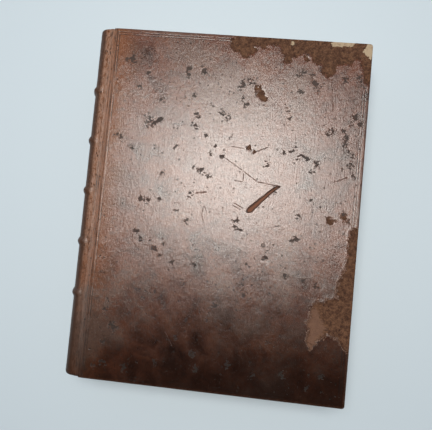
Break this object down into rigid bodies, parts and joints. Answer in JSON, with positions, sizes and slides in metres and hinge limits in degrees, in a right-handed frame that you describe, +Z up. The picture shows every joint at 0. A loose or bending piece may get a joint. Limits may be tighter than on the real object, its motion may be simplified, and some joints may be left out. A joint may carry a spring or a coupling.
{
  "type": "antique leather book",
  "caption": "Old calf-bound book lying closed: rounded spine with raised bands, blind-tooled scuffed covers that hinge open, aged pages.",
  "frame": {"origin": "centre of the space the closed book fills, at the table under it", "axes": "+X from the spine to the fore-edge, +Y from the tail to the head, +Z up through the upper cover"},
  "size_m": [0.2386, 0.3, 0.0532],
  "materials": {
    "calf": "satin",
    "pasteboard": "matte",
    "endpaper": "matte",
    "pages": "matte",
    "lining_paper": "matte",
    "hemp": "matte",
    "linen_thread": "matte",
    "silk": "satin"
  },
  "bodies": {
    "book_block": {"text_block": "pages", "lower_flyleaf": "endpaper", "upper_flyleaf": "endpaper", "sewing_cord_1": "hemp", "sewing_cord_2": "hemp", "sewing_cord_3": "hemp", "sewing_cord_4": "hemp", "sewing_cord_5": "hemp", "sewing_thread": "linen_thread", "spine_lining_1": "lining_paper", "spine_lining_2": "lining_paper", "spine_lining_3": "lining_paper", "spine_lining_4": "lining_paper", "spine_lining_5": "lining_paper", "spine_lining_6": "lining_paper", "spine_leather": "calf", "head_endband_core": "hemp", "head_endband_silk": "silk", "tail_endband_core": "hemp", "tail_endband_silk": "silk"},
    "upper_cover": {"upper_board": "pasteboard", "upper_cover_leather": "calf", "upper_pastedown": "endpaper", "upper_lacing_1": "hemp", "upper_lacing_2": "hemp", "upper_lacing_3": "hemp", "upper_lacing_4": "hemp", "upper_lacing_5": "hemp"},
    "lower_cover": {"lower_board": "pasteboard", "lower_cover_leather": "calf", "lower_pastedown": "endpaper", "lower_lacing_1": "hemp", "lower_lacing_2": "hemp", "lower_lacing_3": "hemp", "lower_lacing_4": "hemp", "lower_lacing_5": "hemp"}
  },
  "joints": [
    {"name": "upper_cover_joint", "type": "hinge", "parent": "book_block", "child": "upper_cover", "pos_m": [-0.1007, 0, 0.0532], "axis": [0, -1, 0], "range_deg": [0, 178]},
    {"name": "lower_cover_joint", "type": "hinge", "parent": "book_block", "child": "lower_cover", "pos_m": [-0.1007, 0, 0], "axis": [0, 1, 0], "range_deg": [0, 178]}
  ]
}
